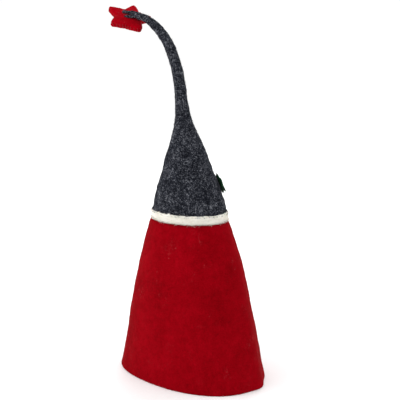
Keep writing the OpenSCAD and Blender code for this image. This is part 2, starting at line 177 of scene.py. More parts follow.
def red_felt(name, deep, middle, light, attribute=None, nap=0.18):
    """Fulled wool cloth in one strong colour, with fine nap, soft mottling and pale lint."""
    f = Finish(name, 0.95, 0.02, attribute, Sheen_Weight=0.02, Sheen_Roughness=0.45,
               Sheen_Tint=rgb(255, 120, 120))
    broad = f.noise(38, 3, 0.55)
    cloud = f.noise(7, 3, 0.6, 0.4)
    grain = f.noise(1.1, 3, 0.65)
    fibres = f.hairs(2.6, 0.035, 2.2)
    cross = f.hairs(3.4, 0.03, 1.6, f.stretched((1.6, 1.6, 0.5), (0.5, 0.3, 0.2), (31, 7, 12)))
    tone = f.total((0.34, broad), (0.30, cloud), (0.55, grain), (0.12, fibres), (0.08, cross))
    colour = f.ramp(tone, (0.36, deep), (0.60, middle), (0.88, light))
    lint = f.span(f.cells(11, f.stretched((1, 1, 1), shift=(5, 3, 1))), 0.02, 0.055, 1.0, 0.0)
    chosen = f.span(f.noise(26, 1), 0.56, 0.66)
    threads = f.math("MULTIPLY", f.hairs(13, 0.006, 3.0, f.stretched((1, 1, 1), (1, 2, 0.4), (9, 40, 3))),
                     f.span(f.noise(17, 1, 0.5, 0, f.stretched((1, 1, 1), shift=(70, 20, 5))), 0.58, 0.68))
    pale = f.math("MAXIMUM", f.math("MULTIPLY", lint, chosen), threads)
    colour = f.mix(f.math("MULTIPLY", pale, 0.22), colour, rgb(226, 130, 130))
    return f.finish(colour, f.total((0.7, grain), (0.3, cloud), (0.35, fibres)), nap)


def heather_felt(name, attribute=None, gain=1.0):
    """Charcoal wool felt with paler and darker wool carded into it."""
    f = Finish(name, 0.95, 0.05, attribute, Sheen_Weight=0.03, Sheen_Roughness=0.5,
               Sheen_Tint=rgb(190, 195, 215))
    patch = f.noise(3.0, 3, 0.7, 1.0)
    clump = f.noise(8.5, 2, 0.5, 0.6)
    grain = f.noise(1.3, 2, 0.8, 0.4)
    curls = f.hairs(4.6, 0.05, 3.0)
    wisps = f.hairs(6.0, 0.035, 2.4, f.stretched((1, 1, 0.7), (0.7, 0.2, 1.1), (13, 5, 44)))
    specks = f.hairs(3.0, 0.05, 2.0, f.stretched((1, 1, 1), (0.4, 1.2, 0.9), (61, 8, 5)))
    dark = f.hairs(5.0, 0.06, 2.4, f.stretched((1, 1, 1), (1.9, 0.8, 0.3), (3, 77, 20)))
    tone = f.total((0.62, patch), (0.26, clump), (0.50, grain), (0.20, curls), (0.18, wisps),
                   (0.14, specks), (-0.24, dark))
    shades = (0.55, (9, 11, 17)), (0.70, (26, 28, 35)), (0.84, (55, 57, 65)), (1.0, (126, 128, 134))
    colour = f.ramp(tone, *((at, rgb(*(c * gain for c in shade))) for at, shade in shades))
    return f.finish(colour, f.total((0.6, grain), (0.5, patch), (0.4, curls), (0.35, wisps)), 0.42)


def wool(name, shade, middle, light, squeeze=(1, 1, 1), size=2.2, depth=0.3, subsurface=0.06):
    """Carded wool that isn't felted: long soft fibres lying one way."""
    f = Finish(name, 0.85, 0.2, None, Sheen_Weight=0.25, Sheen_Roughness=0.4,
               Sheen_Tint=(1, 1, 1, 1), Subsurface_Weight=subsurface, Subsurface_Scale=0.002)
    lie = f.stretched(squeeze)
    strands = f.noise(size, 4, 0.65, 0.3, lie)
    fine = f.noise(size * 0.3, 3, 0.7, 0.2, lie)
    cloud = f.noise(8, 2, 0.5)
    tone = f.total((0.55, strands), (0.30, fine), (0.15, cloud))
    colour = f.ramp(tone, (0.30, shade), (0.48, middle), (0.66, light))
    return f.finish(colour, f.total((0.6, strands), (0.4, fine)), depth)


def craft_felt(name, deep, middle, light, depth=0.2):
    """Pressed craft felt: even colour, short tangled fibres."""
    f = Finish(name, 0.9, 0.15, None, Sheen_Weight=0.12, Sheen_Roughness=0.5, Sheen_Tint=light)
    cloud = f.noise(4.5, 3, 0.6, 0.6)
    grain = f.noise(0.7, 3, 0.7)
    fibres = f.hairs(2.0, 0.04, 2.5)
    tone = f.total((0.42, cloud), (0.38, grain), (0.16, fibres))
    colour = f.ramp(tone, (0.28, deep), (0.46, middle), (0.70, light))
    return f.finish(colour, f.total((0.6, grain), (0.4, fibres), (0.3, cloud)), depth)


def twisted_thread(name, middle, light):
    """Two-ply sewing thread: slanting plies with a little shine."""
    f = Finish(name, 0.55, 0.35, None, Sheen_Weight=0.1)
    ply = f.noise(0.5, 2, 0.5, 0.2, f.stretched((1, 1, 2.4), (0.6, 0.4, 0)))
    colour = f.ramp(ply, (0.35, middle), (0.65, light))
    return f.finish(colour, ply, 0.12)


def paper_card(name):
    f = Finish(name, 0.8, 0.25)
    pulp = f.noise(1.4, 4, 0.7)
    tone = f.total((0.6, pulp), (0.4, f.noise(5, 2, 0.6)))
    colour = f.ramp(tone, (0.35, rgb(138, 112, 80)), (0.65, rgb(186, 158, 120)))
    return f.finish(colour, pulp, 0.05)


def woven_cotton(name):
    f = Finish(name, 0.85, 0.2)
    warp, weft = (
        f.fill(f.new("ShaderNodeTexWave", wave_type="BANDS", bands_direction=way), Vector=f.place,
               Scale=0.45, Distortion=0.6).outputs[1]
        for way in "XZ")
    weave = f.math("MAXIMUM", warp, weft)
    tone = f.total((0.7, weave), (0.3, f.noise(3, 3)))
    colour = f.ramp(tone, (0.3, rgb(196, 184, 160)), (0.8, rgb(236, 228, 210)))
    return f.finish(colour, weave, 0.15)


def pellet_fill(name):
    f = Finish(name, 0.5, 0.4)
    beads = f.cells(3.2)
    # the colour is painted darker away from each bead's middle: painted shade in the gaps between the beads
    colour = f.ramp(beads, (0.1, rgb(206, 204, 198)), (0.7, rgb(84, 82, 78)))
    return f.finish(colour, f.math("SUBTRACT", 1.0, beads), 1.2)


def soft_wire(name):
    f = Finish(name, 0.38, 0.5, None, Metallic=1.0)
    drawn = f.noise(0.6, 3, 0.6, 0.2, f.stretched((3, 3, 0.3)))
    colour = f.ramp(drawn, (0.35, rgb(120, 122, 126)), (0.7, rgb(176, 178, 182)))
    return f.finish(colour, drawn, 0.03)


RED = red_felt("red_felt", rgb(98, 0, 5), rgb(131, 0, 10), rgb(160, 3, 20))
STAR_RED = red_felt("star_felt", rgb(112, 0, 8), rgb(158, 0, 16), rgb(186, 8, 28), nap=0.25)
BERRY = craft_felt("berry_felt", rgb(120, 4, 12), rgb(168, 10, 22), rgb(204, 46, 54))
GREY = heather_felt("grey_felt", attribute="rest")
GREY_WOOL = heather_felt("grey_wool", gain=1.15)
CREAM = wool("cream_wool", rgb(200, 190, 178), rgb(247, 242, 230), rgb(255, 254, 249),
             (0.5, 0.5, 3.4), 1.6, 0.5)
WHITE = wool("white_wool", rgb(204, 198, 188), rgb(238, 234, 226), rgb(255, 253, 248),
             (2.6, 2.6, 0.35), 1.6, 0.4)
GREEN = craft_felt("green_felt", rgb(3, 30, 16), rgb(8, 58, 32), rgb(28, 96, 56))
SKIN = wool("skin_wool", rgb(186, 132, 104), rgb(218, 166, 136), rgb(240, 200, 172),
            size=2.0, depth=0.45, subsurface=0.1)
STUFFING = wool("stuffing_wool", rgb(206, 204, 198), rgb(232, 230, 226), rgb(250, 250, 248),
                size=5, depth=0.8)
CARD = paper_card("card")
COTTON = woven_cotton("cotton")
PELLETS = pellet_fill("pellets")
WIRE = soft_wire("wire")
THREAD_RED = twisted_thread("thread_red", rgb(112, 0, 10), rgb(156, 1, 17))
THREAD_DARK = twisted_thread("thread_dark", rgb(30, 31, 36), rgb(74, 76, 84))
THREAD_PALE = twisted_thread("thread_pale", rgb(206, 194, 176), rgb(242, 234, 220))
THREAD_GREEN = twisted_thread("thread_green", rgb(14, 66, 36), rgb(58, 126, 80))
RED_FIBRE = red_felt("red_fibre", rgb(128, 1, 12), rgb(158, 6, 22), rgb(190, 46, 56))
GREY_FIBRE = heather_felt("grey_fibre", gain=1.45, attribute="rest")
STAR_FIBRE = craft_felt("star_fibre", rgb(130, 2, 14), rgb(168, 8, 24), rgb(204, 48, 58))


# ---- mesh helpers

def circle(count):
    """Evenly spaced angles, once round."""
    return 2 * math.pi * np.arange(count) / count


def unit(vectors):
    return vectors / np.maximum(np.linalg.norm(vectors, axis=-1, keepdims=True), 1e-12)


def make_mesh(name, points, faces, material, body=None):
    mesh = bpy.data.meshes.new(name)
    mesh.from_pydata(np.asarray(points).reshape(-1, 3).tolist(), [], faces)
    mesh.materials.append(material)
    mesh.polygons.foreach_set("use_smooth", [True] * len(mesh.polygons))
    mesh.update()
    piece = bpy.data.objects.new(name, mesh)
    SCENE.collection.objects.link(piece)
    if body:
        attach(piece, body)
    return piece


def ring_faces(rows, sides, wrap):
    """Faces of a skin over rings; with wrap the last joins the first, else a point closes each end."""
    faces = []
    for i in range(rows if wrap else rows - 1):
        low, high = i * sides, ((i + 1) % rows) * sides
        for j in range(sides):
            k = (j + 1) % sides
            faces.append((low + j, low + k, high + k, high + j))
    if not wrap:
        first, last, top = rows * sides, rows * sides + 1, (rows - 1) * sides
        for j in range(sides):
            k = (j + 1) % sides
            faces.append((first, k, j))
            faces.append((last, top + j, top + k))
    return faces


def skin(name, rings, material, body=None, wrap=False):
    """A closed piece over rings, each counter-clockwise seen from the next one."""
    rings = np.asarray(rings)
    rows, sides, _ = rings.shape
    points = rings.reshape(-1, 3)
    if not wrap:
        points = np.vstack([points, rings[0].mean(0), rings[-1].mean(0)])
    return make_mesh(name, points, ring_faces(rows, sides, wrap), material, body)


def tubes(name, paths, radii, sides, material, body=None):
    """One piece of many closed strands: paths is (strands, points, 3), radii is (strands, points)."""
    paths, radii = np.asarray(paths, float), np.asarray(radii, float)
    count, steps, _ = paths.shape
    along = unit(np.gradient(paths, axis=1))
    least = np.abs(along.mean(1)).argmin(1)
    side = unit(np.cross(along, np.eye(3)[least][:, None, :]))
    other = np.cross(along, side)
    turn = circle(sides)
    rings = paths[:, :, None] + radii[:, :, None, None] * (
        np.cos(turn)[:, None] * side[:, :, None] + np.sin(turn)[:, None] * other[:, :, None]
    )
    j = np.arange(sides)
    k = (j + 1) % sides
    i = np.arange(steps - 1)[:, None] * sides
    quads = np.stack([i + j, i + k, i + sides + k, i + sides + j], axis=-1).reshape(-1, 4)
    step = steps * sides
    quads = (np.arange(count)[:, None, None] * step + quads).reshape(-1, 4).tolist()
    ends = [list(range(s * step + sides - 1, s * step - 1, -1)) for s in range(count)]
    ends += [list(range(s * step + step - sides, s * step + step)) for s in range(count)]
    return make_mesh(name, rings, quads + ends, material, body)


def wave(points, size, seed, octaves=2):
    """Smooth noise of about -1 to 1, with features of this size in metres, at each point."""
    flat = np.asarray(points).reshape(-1, 3) / size + np.array([7.3, 3.1, 5.7]) * seed
    values = [noise.fractal(Vector(p), 1.0, 2.0, octaves) for p in flat.tolist()]
    return np.array(values).reshape(np.asarray(points).shape[:-1])


def cad_points(*names):
    return np.vstack([np.array([v.co for v in NODES[n].data.vertices], float) for n in names])


def cad_tree(*names):
    points, faces = [], []
    for n in names:
        shift = len(points)
        points += [v.co.copy() for v in NODES[n].data.vertices]
        faces += [[i + shift for i in p.vertices] for p in NODES[n].data.polygons]
    return BVHTree.FromPolygons(points, faces)


def softened(values, width):
    """Rows of values averaged with their neighbours, ends carried straight on."""
    reach = 3 * width
    weights = np.exp(-0.5 * (np.arange(-reach, reach + 1) / width) ** 2)
    weights /= weights.sum()
    k = np.arange(1, reach + 1)[:, None]
    before = values[0] + (values[0] - values[1]) * k[::-1]
    after = values[-1] + (values[-1] - values[-2]) * k
    longer = np.vstack([before, values, after])
    return np.stack([np.convolve(column, weights, "valid") for column in longer.T], axis=1)


def resampled(line, steps):
    """Points at even steps along a line through a few points."""
    at = np.linspace(0, len(line) - 1, steps)
    return np.stack([np.interp(at, range(len(line)), line[:, c]) for c in range(3)], -1)


class Outline:
    """The outer surface of an upright CAD solid, as smooth radii at heights and angles."""

    SAMPLES = 180
    HARMONICS = 24

    def __init__(self, node, low, high, step, width):
        tree = cad_tree(node)
        self.heights = np.arange(low, high + step / 2, step)
        turns = circle(self.SAMPLES)
        centres, waves = [], []
        for z in self.heights:
            ends = [self.hit(tree, 0, z, a) for a in (0, math.pi)]
            middle = (ends[0] - ends[1]) / 2
            radii = [self.hit(tree, middle, z, a) for a in turns]
            centres.append([middle])
            waves.append(np.fft.rfft(radii)[: self.HARMONICS + 1] / self.SAMPLES)
        waves = np.array(waves)
        table = softened(np.hstack([np.array(centres), waves.real, waves.imag]), width)
        self.centres = table[:, 0]
        split = 1 + self.HARMONICS + 1
        self.waves = table[:, 1:split] + 1j * table[:, split:]

    @staticmethod
    def hit(tree, middle, z, angle):
        way = Vector((math.cos(angle), math.sin(angle), 0))
        start = Vector((middle, 0, z)) + way * 0.3
        found = tree.ray_cast(start, -way)[0]
        return (found - Vector((middle, 0, z))).dot(way)

    def at(self, z):
        """Middle and waves of the outline at any height, carried straight on past its ends."""
        z, h = np.asarray(z, float), self.heights

        def straight(table):
            low = (table[1] - table[0]) / (h[1] - h[0]) * np.minimum(z - h[0], 0)
            high = (table[-1] - table[-2]) / (h[-1] - h[-2]) * np.maximum(z - h[-1], 0)
            return np.interp(z, h, table) + low + high

        centre = straight(self.centres)
        waves = np.stack([straight(self.waves[:, k].real) + 1j * straight(self.waves[:, k].imag)
                          for k in range(self.HARMONICS + 1)], axis=-1)
        return centre, waves

    def radius(self, z, angle):
        """Radius at heights and angles given as arrays of one shape."""
        centre, waves = self.at(z)
        k = np.arange(self.HARMONICS + 1)
        spin = waves * np.exp(1j * k * np.asarray(angle)[..., None])
        return centre, spin[..., 0].real + 2 * spin[..., 1:].real.sum(-1)

    def point(self, z, angle, out=0.0):
        centre, radius = self.radius(z, angle)
        radius = radius + out
        return np.stack([centre + radius * np.cos(angle), radius * np.sin(angle),
                         np.broadcast_to(z, radius.shape)], axis=-1)

    def oval(self, z, turn, out=0.0):
        """As point, for an angle that turns as the two half axes of an oval do."""
        wide = self.radius(z, np.zeros_like(turn))[1]
        deep = self.radius(z, np.full_like(turn, math.pi / 2))[1]
        return self.point(z, np.arctan2(deep * np.sin(turn), wide * np.cos(turn)), out)


def grown(points, outward, amounts):
    """Points moved along a unit direction each."""
    return points + outward * amounts[..., None]


def ring_normals(rings):
    """Outward unit directions of a grid of rings."""
    along = np.gradient(rings, axis=0)
    around = np.roll(rings, -1, axis=1) - np.roll(rings, 1, axis=1)
    return unit(np.cross(around, along))


def fuzz(name, rings, count, length, thick, material, seed, body=None, lean=0.9, rows=None):
    """Short loose fibres that stand out of a felt surface given as rings."""
    local = np.random.default_rng(seed)
    out = ring_normals(rings)
    low, high = rows or (1, rings.shape[0] - 2)
    i = local.integers(low, high, count)
    j = local.integers(0, rings.shape[1], count)
    u, v = local.random((2, count, 1))
    k = (j + 1) % rings.shape[1]
    root = ((rings[i, j] * (1 - u) + rings[i, k] * u) * (1 - v)
            + (rings[i + 1, j] * (1 - u) + rings[i + 1, k] * u) * v)
    normal = out[i, j]
    aim = local.normal(size=(count, 3))
    aim = unit(aim - (aim * normal).sum(1, keepdims=True) * normal)
    bend = local.normal(size=(count, 3)) * 0.45
    size = length * (0.45 + 0.9 * local.random((count, 1)))
    s = np.linspace(0, 1, 4)[None, :, None]
    way = normal * (0.35 + 0.5 * local.random((count, 1))) + aim * lean
    path = ((root - normal * 0.15 * MM)[:, None] + s * (way * size)[:, None]
            + s * s * (bend * size * 0.7)[:, None])
    radii = thick * (1 - 0.75 * s[:, :, 0]) * np.ones((count, 1))
    return tubes(name, path, radii, 3, material, body)


# ---- camera, light and stage

LOOK_AT = Vector((-0.0075, -0.0052, 0.184))


def aimed(name, data, place):
    """A camera or light that looks at the figure."""
    holder = bpy.data.objects.new(name, data)
    SCENE.collection.objects.link(holder)
    holder.location = place
    holder.rotation_euler = (LOOK_AT - Vector(place)).to_track_quat("-Z", "Y").to_euler()
    return holder


camera = aimed("camera", bpy.data.cameras.new("camera"), (-0.631, 0.901, 0.414))
camera.data.lens = 99
camera.data.sensor_width = 36
camera.data.clip_start = 0.05
SCENE.camera = camera
SCENE.view_settings.view_transform = "Standard"

world = bpy.data.worlds.new("world")
world.use_nodes = True
backdrop = world.node_tree.nodes["Background"].inputs
backdrop["Color"].default_value = (1, 1, 1, 1)
backdrop["Strength"].default_value = 1.03
SCENE.world = world


LAMPS = (("key", (0.95, 0.85, 0.95), 6.5, 0.7), ("front", (0.55, -1.1, 0.9), 7.0, 0.8))
for name, place, power, size in LAMPS:
    lamp = bpy.data.lights.new(name, "AREA")
    lamp.energy, lamp.size = power, size
    aimed(name, lamp, place)

floor_finish = Finish("floor", 0.9, 0.1)
floor_tone = floor_finish.ramp(floor_finish.noise(60, 2), (0.3, (0.985, 0.985, 0.985, 1)),
                               (0.7, (1, 1, 1, 1)))
floor = make_mesh("floor", [(-9, -9, 0), (9, -9, 0), (9, 9, 0), (-9, 9, 0)], [(0, 1, 2, 3)],
                  floor_finish.finish(floor_tone))


# ---- dress

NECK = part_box("dress_shell")[1].z
HEM_ROLL = 2 * MM
dress_line = Outline("dress_shell", 4 * MM, NECK - 1.5 * MM, 2 * MM, 2)

DRESS_SIDES = 352
WALL_ROWS = 170
INNER_ROWS = 12


def dress_profile():
    """Height and inset of each row: under the hat, down the outside, round the hem and up the inside."""
    top, shoulder = NECK - 0.1 * MM, 3.4 * MM
    rows = [(NECK - 4.5 * MM, 12 * MM), (NECK - 1 * MM, 11.5 * MM), (NECK - 0.2 * MM, 9 * MM), (top, 6 * MM)]
    rows += [(top - shoulder * (1 - math.cos(a)), shoulder * (1 - math.sin(a)))
             for a in np.radians(np.arange(0, 90, 11.25))]
    rows += [(z, 0.0) for z in np.linspace(top - shoulder, HEM_ROLL, WALL_ROWS)]
    rows += [(HEM_ROLL * (1 - math.sin(a)), HEM_ROLL * (1 - math.cos(a)))
             for a in np.radians(np.arange(9, 91, 9))]
    rows += [(0.0, 7 * MM), (0.3 * MM, 8.6 * MM), (1.5 * MM, 9 * MM), (3 * MM, 8.4 * MM), (4 * MM, 6 * MM)]
    rows += [(z, 4.2 * MM) for z in np.linspace(8 * MM, NECK - 8 * MM, INNER_ROWS)]
    return np.array(rows)


profile = dress_profile()
row_z, inset = profile.T
zz, aa = np.meshgrid(row_z, circle(DRESS_SIDES), indexing="ij")
dress_rings = dress_line.point(zz, aa, -inset[:, None])
# only the outside is lumpy, less so near the hem and the neck
outside = (inset < 5.5 * MM) & (row_z > 0.4 * MM)
outside[-INNER_ROWS:] = False
ease = np.clip(row_z / (12 * MM), 0.15, 1) * np.clip((NECK - row_z) / (6 * MM), 0.1, 1)
lumps = (0.75 * wave(dress_rings, 0.050, 1) + 0.32 * wave(dress_rings, 0.017, 2)
         + 0.16 * wave(dress_rings, 0.006, 3) + 0.07 * wave(dress_rings, 0.0022, 4, 1)) * MM
away = np.stack([np.cos(aa), np.sin(aa), np.zeros_like(aa)], axis=-1)
dress_rings = grown(dress_rings, away, lumps * (outside * ease)[:, None])
# the rows run downwards on the outside, so their order is turned to keep the faces outward
dress = skin("dress", dress_rings[::-1], RED, "figure", wrap=True)
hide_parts("dress_shell")

first_wall = int(np.argmax(inset == 0.0))
wall = dress_rings[first_wall: first_wall + WALL_ROWS - 1][::-1]
fuzz("dress_fuzz", wall, 5200, 1.3 * MM, 0.035 * MM, RED_FIBRE, 5, "figure", lean=1.0)


# ---- hat and tail

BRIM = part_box("hat_cone")[0].z
HAT_FELT = 2.6 * MM
hat_line = Outline("hat_cone", BRIM + 1 * MM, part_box("tail_felt_root")[0].z - 12 * MM, 2 * MM, 2)

# The tail's middle line, as the CAD draws it, and its radius along it in millimetres
TAIL_POLES = np.array([(12, 286), (16, 342), (42, 370), (87, 373.5)]) * MM
TAIL_PLACES = (0, 0.25, 0.5, 0.62, 0.72, 0.82, 0.88, 1)
TAIL_RADII = (6.0, 5.5, 5.1, 4.5, 3.8, 3.2, 2.7, 1.8)
TAIL_END = 0.90         # where along that line the felt ends


def tail_at(t):
    t = np.asarray(t, float)[..., None]
    p = TAIL_POLES
    return (1 - t) ** 3 * p[0] + 3 * (1 - t) ** 2 * t * p[1] + 3 * (1 - t) * t * t * p[2] + t ** 3 * p[3]


def tail_way(t):
    t = np.asarray(t, float)[..., None]
    p = TAIL_POLES
    return unit(3 * (1 - t) ** 2 * (p[1] - p[0]) + 6 * (1 - t) * t * (p[2] - p[1])
                + 3 * t * t * (p[3] - p[2]))


STEP = 0.9 * MM
hat_top = TAIL_POLES[0][1]
hat_heights = np.arange(BRIM + 0.4 * MM, hat_top - 3 * MM, STEP)
fine = np.linspace(0, 1, 2001)
run = np.concatenate([[0], np.cumsum(np.linalg.norm(np.diff(tail_at(fine), axis=0), axis=1))])
tail_ts = np.interp(np.arange(0, np.interp(TAIL_END, fine, run), STEP), run, fine)
turns = circle(160)

zz, aa = np.meshgrid(hat_heights, turns, indexing="ij")
cone = hat_line.point(zz, aa)
middles, ways = tail_at(tail_ts), tail_way(tail_ts)
radii = np.interp(tail_ts, TAIL_PLACES, TAIL_RADII) * MM
across = np.stack([ways[:, 1], np.zeros(len(ways)), -ways[:, 0]], axis=-1)
sideways = np.array([0, 1.0, 0])
spokes = np.cos(turns)[None, :, None] * across[:, None] + np.sin(turns)[None, :, None] * sideways
places = np.stack([middles[:, 0], np.zeros(len(middles)), middles[:, 1]], axis=-1)
# the felt sags a little round the wire before the star
places[:, 2] -= 1.3 * MM * np.exp(-((tail_ts - 0.83) / 0.06) ** 2)
arm = places[:, None] + radii[:, None, None] * spokes
rings = np.concatenate([cone, arm])
# the join between cone and tail is evened out over a few rows
low, high = len(cone) - 14, len(cone) + 14
for _ in range(30):
    rings[low:high] = (rings[low - 1: high - 1] + rings[low:high] * 2 + rings[low + 1: high + 1]) / 4
axis_points = rings.mean(1, keepdims=True)
outward = rings - axis_points
share = np.clip(np.linalg.norm(outward, axis=2) / (20 * MM), 0.35, 1)
lumps = (0.95 * share * wave(rings, 0.026, 6) + 0.62 * np.sqrt(share) * wave(rings, 0.0095, 7)
         + 0.30 * wave(rings, 0.0036, 8) + 0.12 * wave(rings, 0.0015, 9, 1)) * MM
lumps[:8] *= np.linspace(0.3, 1, 8)[:, None]
hat_rings = grown(rings, unit(outward), lumps)

joint_places = [np.array(JOINTS[n]["pos_m"], float)
                for n in ("tail_lean", "tail_bend_low", "tail_bend_mid", "tail_bend_high")]
joint_rows = [int(np.linalg.norm(axis_points[:, 0] - place, axis=1).argmin()) for place in joint_places]
splits = [(a + b) // 2 for a, b in zip(joint_rows[:-1], joint_rows[1:])]


def drawn_in(ring, amount):
    return ring - unit(ring - ring.mean(0)) * amount


def hidden_rows(cut, step):
    """Two more rows past a cut, a little inside the next length."""
    return [drawn_in(hat_rings[cut + step], 0.06 * MM), drawn_in(hat_rings[cut + 2 * step], 0.25 * MM)]


def remember_rest(piece):
    """Keeps each point's resting place, which the felt's pattern follows when the piece bends."""
    co = np.zeros(len(piece.data.vertices) * 3, np.float32)
    piece.data.vertices.foreach_get("co", co)
    store = piece.data.attributes.new("rest", "FLOAT_VECTOR", "POINT")
    store.data.foreach_set("vector", co)


def add_bent(piece):
    """Keeps each point's resting place, then moves the piece's transform into its mesh."""
    remember_rest(piece)
    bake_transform(piece)


lip = [drawn_in(hat_rings[12], HAT_FELT), drawn_in(hat_rings[3], HAT_FELT),
       drawn_in(hat_rings[0], HAT_FELT - 0.4 * MM), drawn_in(hat_rings[0], HAT_FELT / 2) - [0, 0, 0.3 * MM],
       drawn_in(hat_rings[0], 0.5 * MM) - [0, 0, 0.2 * MM]]
end_way = np.array([ways[-1][0], 0, ways[-1][1]])
last_middle = hat_rings[-1].mean(0)
tip_rows = [last_middle + (hat_rings[-1] - last_middle) * math.cos(a) + end_way * 2.6 * MM * math.sin(a)
            for a in np.radians((25, 50, 72))]

HAT_LENGTHS = (("hat", ("hat_cone", "tail_felt_root")), ("tail_lower_felt", ("tail_felt_lower",)),
               ("tail_middle_felt", ("tail_felt_middle",)), ("tail_tip_felt", ("tail_felt_tip",)))
for k, (name, nodes) in enumerate(HAT_LENGTHS):
    first = splits[k - 1] if k else 0
    start = hidden_rows(first, -1)[::-1] if k else lip
    last = splits[k] if k < len(splits) else len(hat_rings) - 1
    end = hidden_rows(last, 1) if k < len(splits) else tip_rows
    piece = skin(name, start + list(hat_rings[first: last + 1]) + end, GREY)
    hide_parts(*nodes)
    add_bent(piece)

edges = [2] + splits + [len(hat_rings) - 2]
fibre_counts = (("hat", 3600), ("tail_lower", 500), ("tail_middle", 700), ("tail_tip", 900))
for k, (name, count) in enumerate(fibre_counts):
    nap = fuzz(name + "_fuzz", hat_rings, count, 1.5 * MM, 0.045 * MM, GREY_FIBRE, 30 + k,
               rows=(edges[k] + 1, edges[k + 1] - 1))
    add_bent(nap)


# ---- wool band

band_low, band_high = (c.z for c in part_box("brim_trim"))
band_mid = (band_low + band_high) / 2 + 0.45 * MM
band_half = (band_high - band_low) / 2 + 0.1 * MM
band_base, band_thick = 0.5 * MM, 1.6 * MM
BAND_RADIUS = 42 * MM
turn = circle(480)
tt, rr = np.meshgrid(turn, circle(34), indexing="ij")
loop = np.stack([np.cos(tt) * 40, np.sin(tt) * 40, np.zeros_like(tt)], -1) * MM
drift = 0.55 * wave(loop, 0.024, 11) * MM
upper = (0.95 * wave(loop, 0.010, 12) + 0.55 * wave(loop, 0.0035, 16)) * MM
under = (0.65 * wave(loop, 0.012, 13) + 0.45 * wave(loop, 0.004, 17)) * MM
streak = wave(np.stack([tt * 4.2, np.cos(rr) * 1.5, np.sin(rr) * 2.6], -1) * MM, 0.001, 14, 3)
groove = wave(np.stack([tt * 9.0, np.cos(rr) * 3.5, np.sin(rr) * 6.0], -1) * MM, 0.001, 15, 2)
lift = (0.75 * streak + 0.30 * groove) * MM
sine, cosine = np.sin(rr), np.cos(rr)
height = (band_mid + drift + band_half * np.sign(sine) * np.abs(sine) ** 0.9
          + np.where(sine > 0, upper, under) * np.abs(sine) + 0.3 * lift * sine)
depth = band_base + band_thick * np.sign(cosine) * np.abs(cosine) ** 0.7 + lift * np.clip(cosine, 0, 1)
band_rings = hat_line.point(height, tt, np.minimum(depth, 2.5 * MM))
band = skin("wool_band", band_rings, CREAM, "figure", wrap=True)
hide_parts("brim_trim")


def along_band(line, rise, out):
    """Points over the wavering band: angle, height above its middle, and distance from the hat."""
    drift_at = np.interp(line % (2 * math.pi), turn, drift[:, 0])
    return hat_line.point(band_mid + drift_at + rise, line, out)


# long strands laid along the band
count, steps = 420, 18
start = rng.random(count) * 2 * math.pi
span = (12 + 34 * rng.random(count)) * MM / BAND_RADIUS
line = start[:, None] + span[:, None] * np.linspace(0, 1, steps)
place = rng.uniform(-1.35, 1.35, count)[:, None] + 0.22 * np.sin(
    np.linspace(0, 1, steps) * rng.uniform(2, 6, count)[:, None] + rng.random(count)[:, None] * 6)
ride = rng.uniform(-0.25, 0.35, count)[:, None] * MM
out = band_base + (band_thick + 0.2 * MM + ride) * np.abs(np.cos(place)) ** 0.7
taper = np.sin(np.linspace(0.05, math.pi - 0.05, steps)) ** 0.5
tubes("band_strands", along_band(line, (band_half + ride) * np.sin(place), out),
      rng.uniform(0.10, 0.36, count)[:, None] * MM * taper, 5, CREAM, "figure")

# wisps that stand off its two edges
count, steps = 1700, 7
start = rng.random(count) * 2 * math.pi
edge = np.where(rng.random(count) < 0.33, 1.0, -1.0)
s = np.linspace(0, 1, steps)
length = (rng.uniform(0.8, 2.2, count) * MM * np.where(rng.random(count) < 0.06, 2.4, 1.0))[:, None]
slant = rng.normal(0, 1.1, count)[:, None]
line = start[:, None] + length / BAND_RADIUS * slant * s + 0.02 * rng.normal(size=count)[:, None] * s ** 2
rise = edge[:, None] * (band_half - 0.7 * MM + length * (0.50 * s + 0.1 * s * s))
out = band_base + (0.9 * MM + rng.uniform(-0.5, 1.1, count)[:, None] * MM) * (1 - 0.3 * s)
out = np.maximum(out, np.where(edge[:, None] < 0, (1.9 + 2.3 * s) * MM, 0.5 * MM))
tubes("band_wisps", along_band(line, rise, out), rng.uniform(0.05, 0.2, count)[:, None] * MM * (1 - 0.7 * s),
      3, CREAM, "figure")

# grey wool of the hat that has worked down over the band's upper edge
count = 900
start = rng.random(count) * 2 * math.pi
start += 0.09 * np.sin(start * 19) + 0.05 * np.sin(start * 41 + 1)
length = rng.uniform(1.2, 3.4, count)[:, None] * MM
line = start[:, None] + length / BAND_RADIUS * rng.normal(0, 0.8, count)[:, None] * s
drop = band_half + 1.5 * MM - length * s
out = np.interp(drop, [band_half - 1.6 * MM, band_half, band_half + 1 * MM], [2.5 * MM, 1.4 * MM, 0.4 * MM])
tubes("hat_edge_fibres", along_band(line, drop, out), rng.uniform(0.10, 0.34, count)[:, None] * MM
      * (1 - 0.7 * s), 4, GREY_WOOL, "figure")


# ---- star

star_points = cad_points("star_upper", "star_under")
star_centre = star_points.mean(0)
spread = star_points - star_centre
_, vectors = np.linalg.eigh(spread.T @ spread)
star_up = vectors[:, 0] * np.sign(vectors[2, 0])
star_x = unit(np.array([1.0, 0, 0]) - star_up[0] * star_up)
star_y = np.cross(star_up, star_x)
star_half = np.abs(spread @ star_up).max()
star_tree = cad_tree("star_upper", "star_under")

STAR_SIDES, STAR_ROWS = 400, 22
STAR_TURNS = circle(STAR_SIDES)


def star_reach(angle):
    way = Vector(star_x * math.cos(angle) + star_y * math.sin(angle))
    base = Vector(star_centre + star_up * star_half * 0.5)
    found = star_tree.ray_cast(base + way * 0.06, -way)[0]
    return (found - base).dot(way)


star_radius = np.array([star_reach(a) for a in STAR_TURNS])
kernel = np.exp(-0.5 * (np.arange(-6, 7) / 2.2) ** 2)
star_radius = np.convolve(np.concatenate([star_radius[-6:], star_radius, star_radius[:6]]),
                          kernel / kernel.sum(), "valid")
flat_edge = np.stack([np.cos(STAR_TURNS), np.sin(STAR_TURNS)], -1) * star_radius[:, None]


